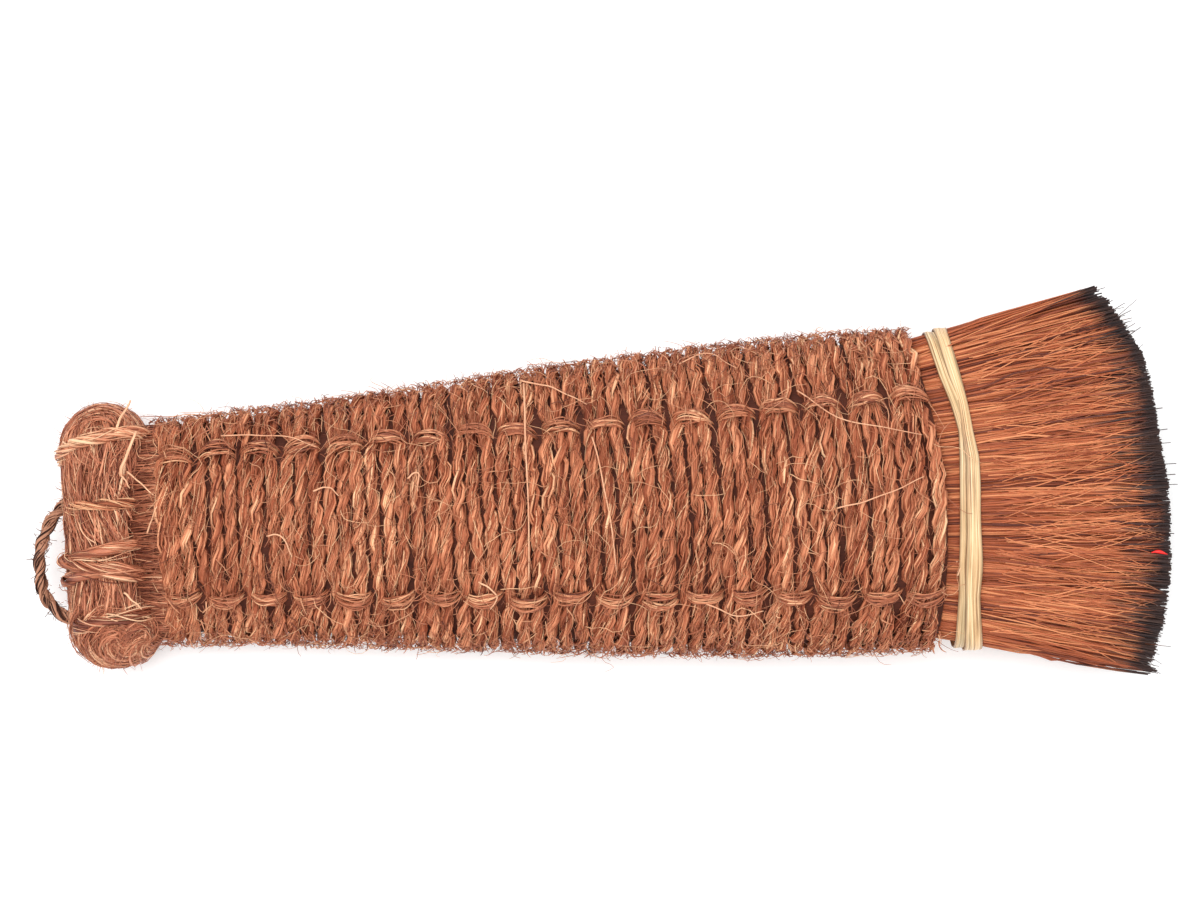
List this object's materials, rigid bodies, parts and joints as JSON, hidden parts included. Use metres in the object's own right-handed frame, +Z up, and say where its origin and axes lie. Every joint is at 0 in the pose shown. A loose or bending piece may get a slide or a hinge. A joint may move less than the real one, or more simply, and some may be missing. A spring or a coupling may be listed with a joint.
{
  "type": "flat palm fibre brush",
  "caption": "Flat tapering calligraphy mounting brush of palm fibre, bound with cord and sewn in two rows, with a straw-tied fan of bristles and a hanging loop.",
  "frame": {"origin": "middle of the whole brush's box, in the plane that the brush lies on", "axes": "+X along the brush towards the bristles' tips, +Y across its width, +Z up through its thickness"},
  "size_m": [0.2258, 0.076, 0.0357],
  "materials": {
    "palm_fibre": "coarse matt fibre",
    "palm_cord": "hairy two-ply cord",
    "stitch_fibre": "flat fibre strands",
    "roll_fibre": "coarse matt fibre",
    "lashing_cord": "loose fibre strands",
    "dark_twine": "hairy two-ply twine",
    "straw": "satin split straw",
    "bristle": "stiff bristle with ink-black tips"
  },
  "bodies": {
    "handle": {"fibre_core": "palm_fibre", "wrap_cord": "palm_cord", "stitch_thread_left": "stitch_fibre", "stitch_thread_right": "stitch_fibre", "end_roll": "roll_fibre", "roll_lashing_upper": "lashing_cord", "roll_lashing_thin": "dark_twine", "roll_lashing_double": "lashing_cord", "roll_lashing_lower": "lashing_cord", "straw_band_inner": "straw", "straw_band_outer": "straw"},
    "bristles": {"bristle_fan": "bristle"},
    "loop": {"hanging_loop": "dark_twine"}
  },
  "joints": [
    {"name": "bristle_bend", "type": "hinge", "parent": "handle", "child": "bristles", "pos_m": [0.09087, 0, 0.01775], "axis": [0, 1, 0], "range_deg": [-20, 20], "stiffness_Nm_per_rad": 1.1},
    {"name": "loop_bend", "type": "hinge", "parent": "handle", "child": "loop", "pos_m": [-0.10437, 0, 0.01175], "axis": [0, 1, 0], "range_deg": [-45, 45], "stiffness_Nm_per_rad": 0.0002}
  ]
}
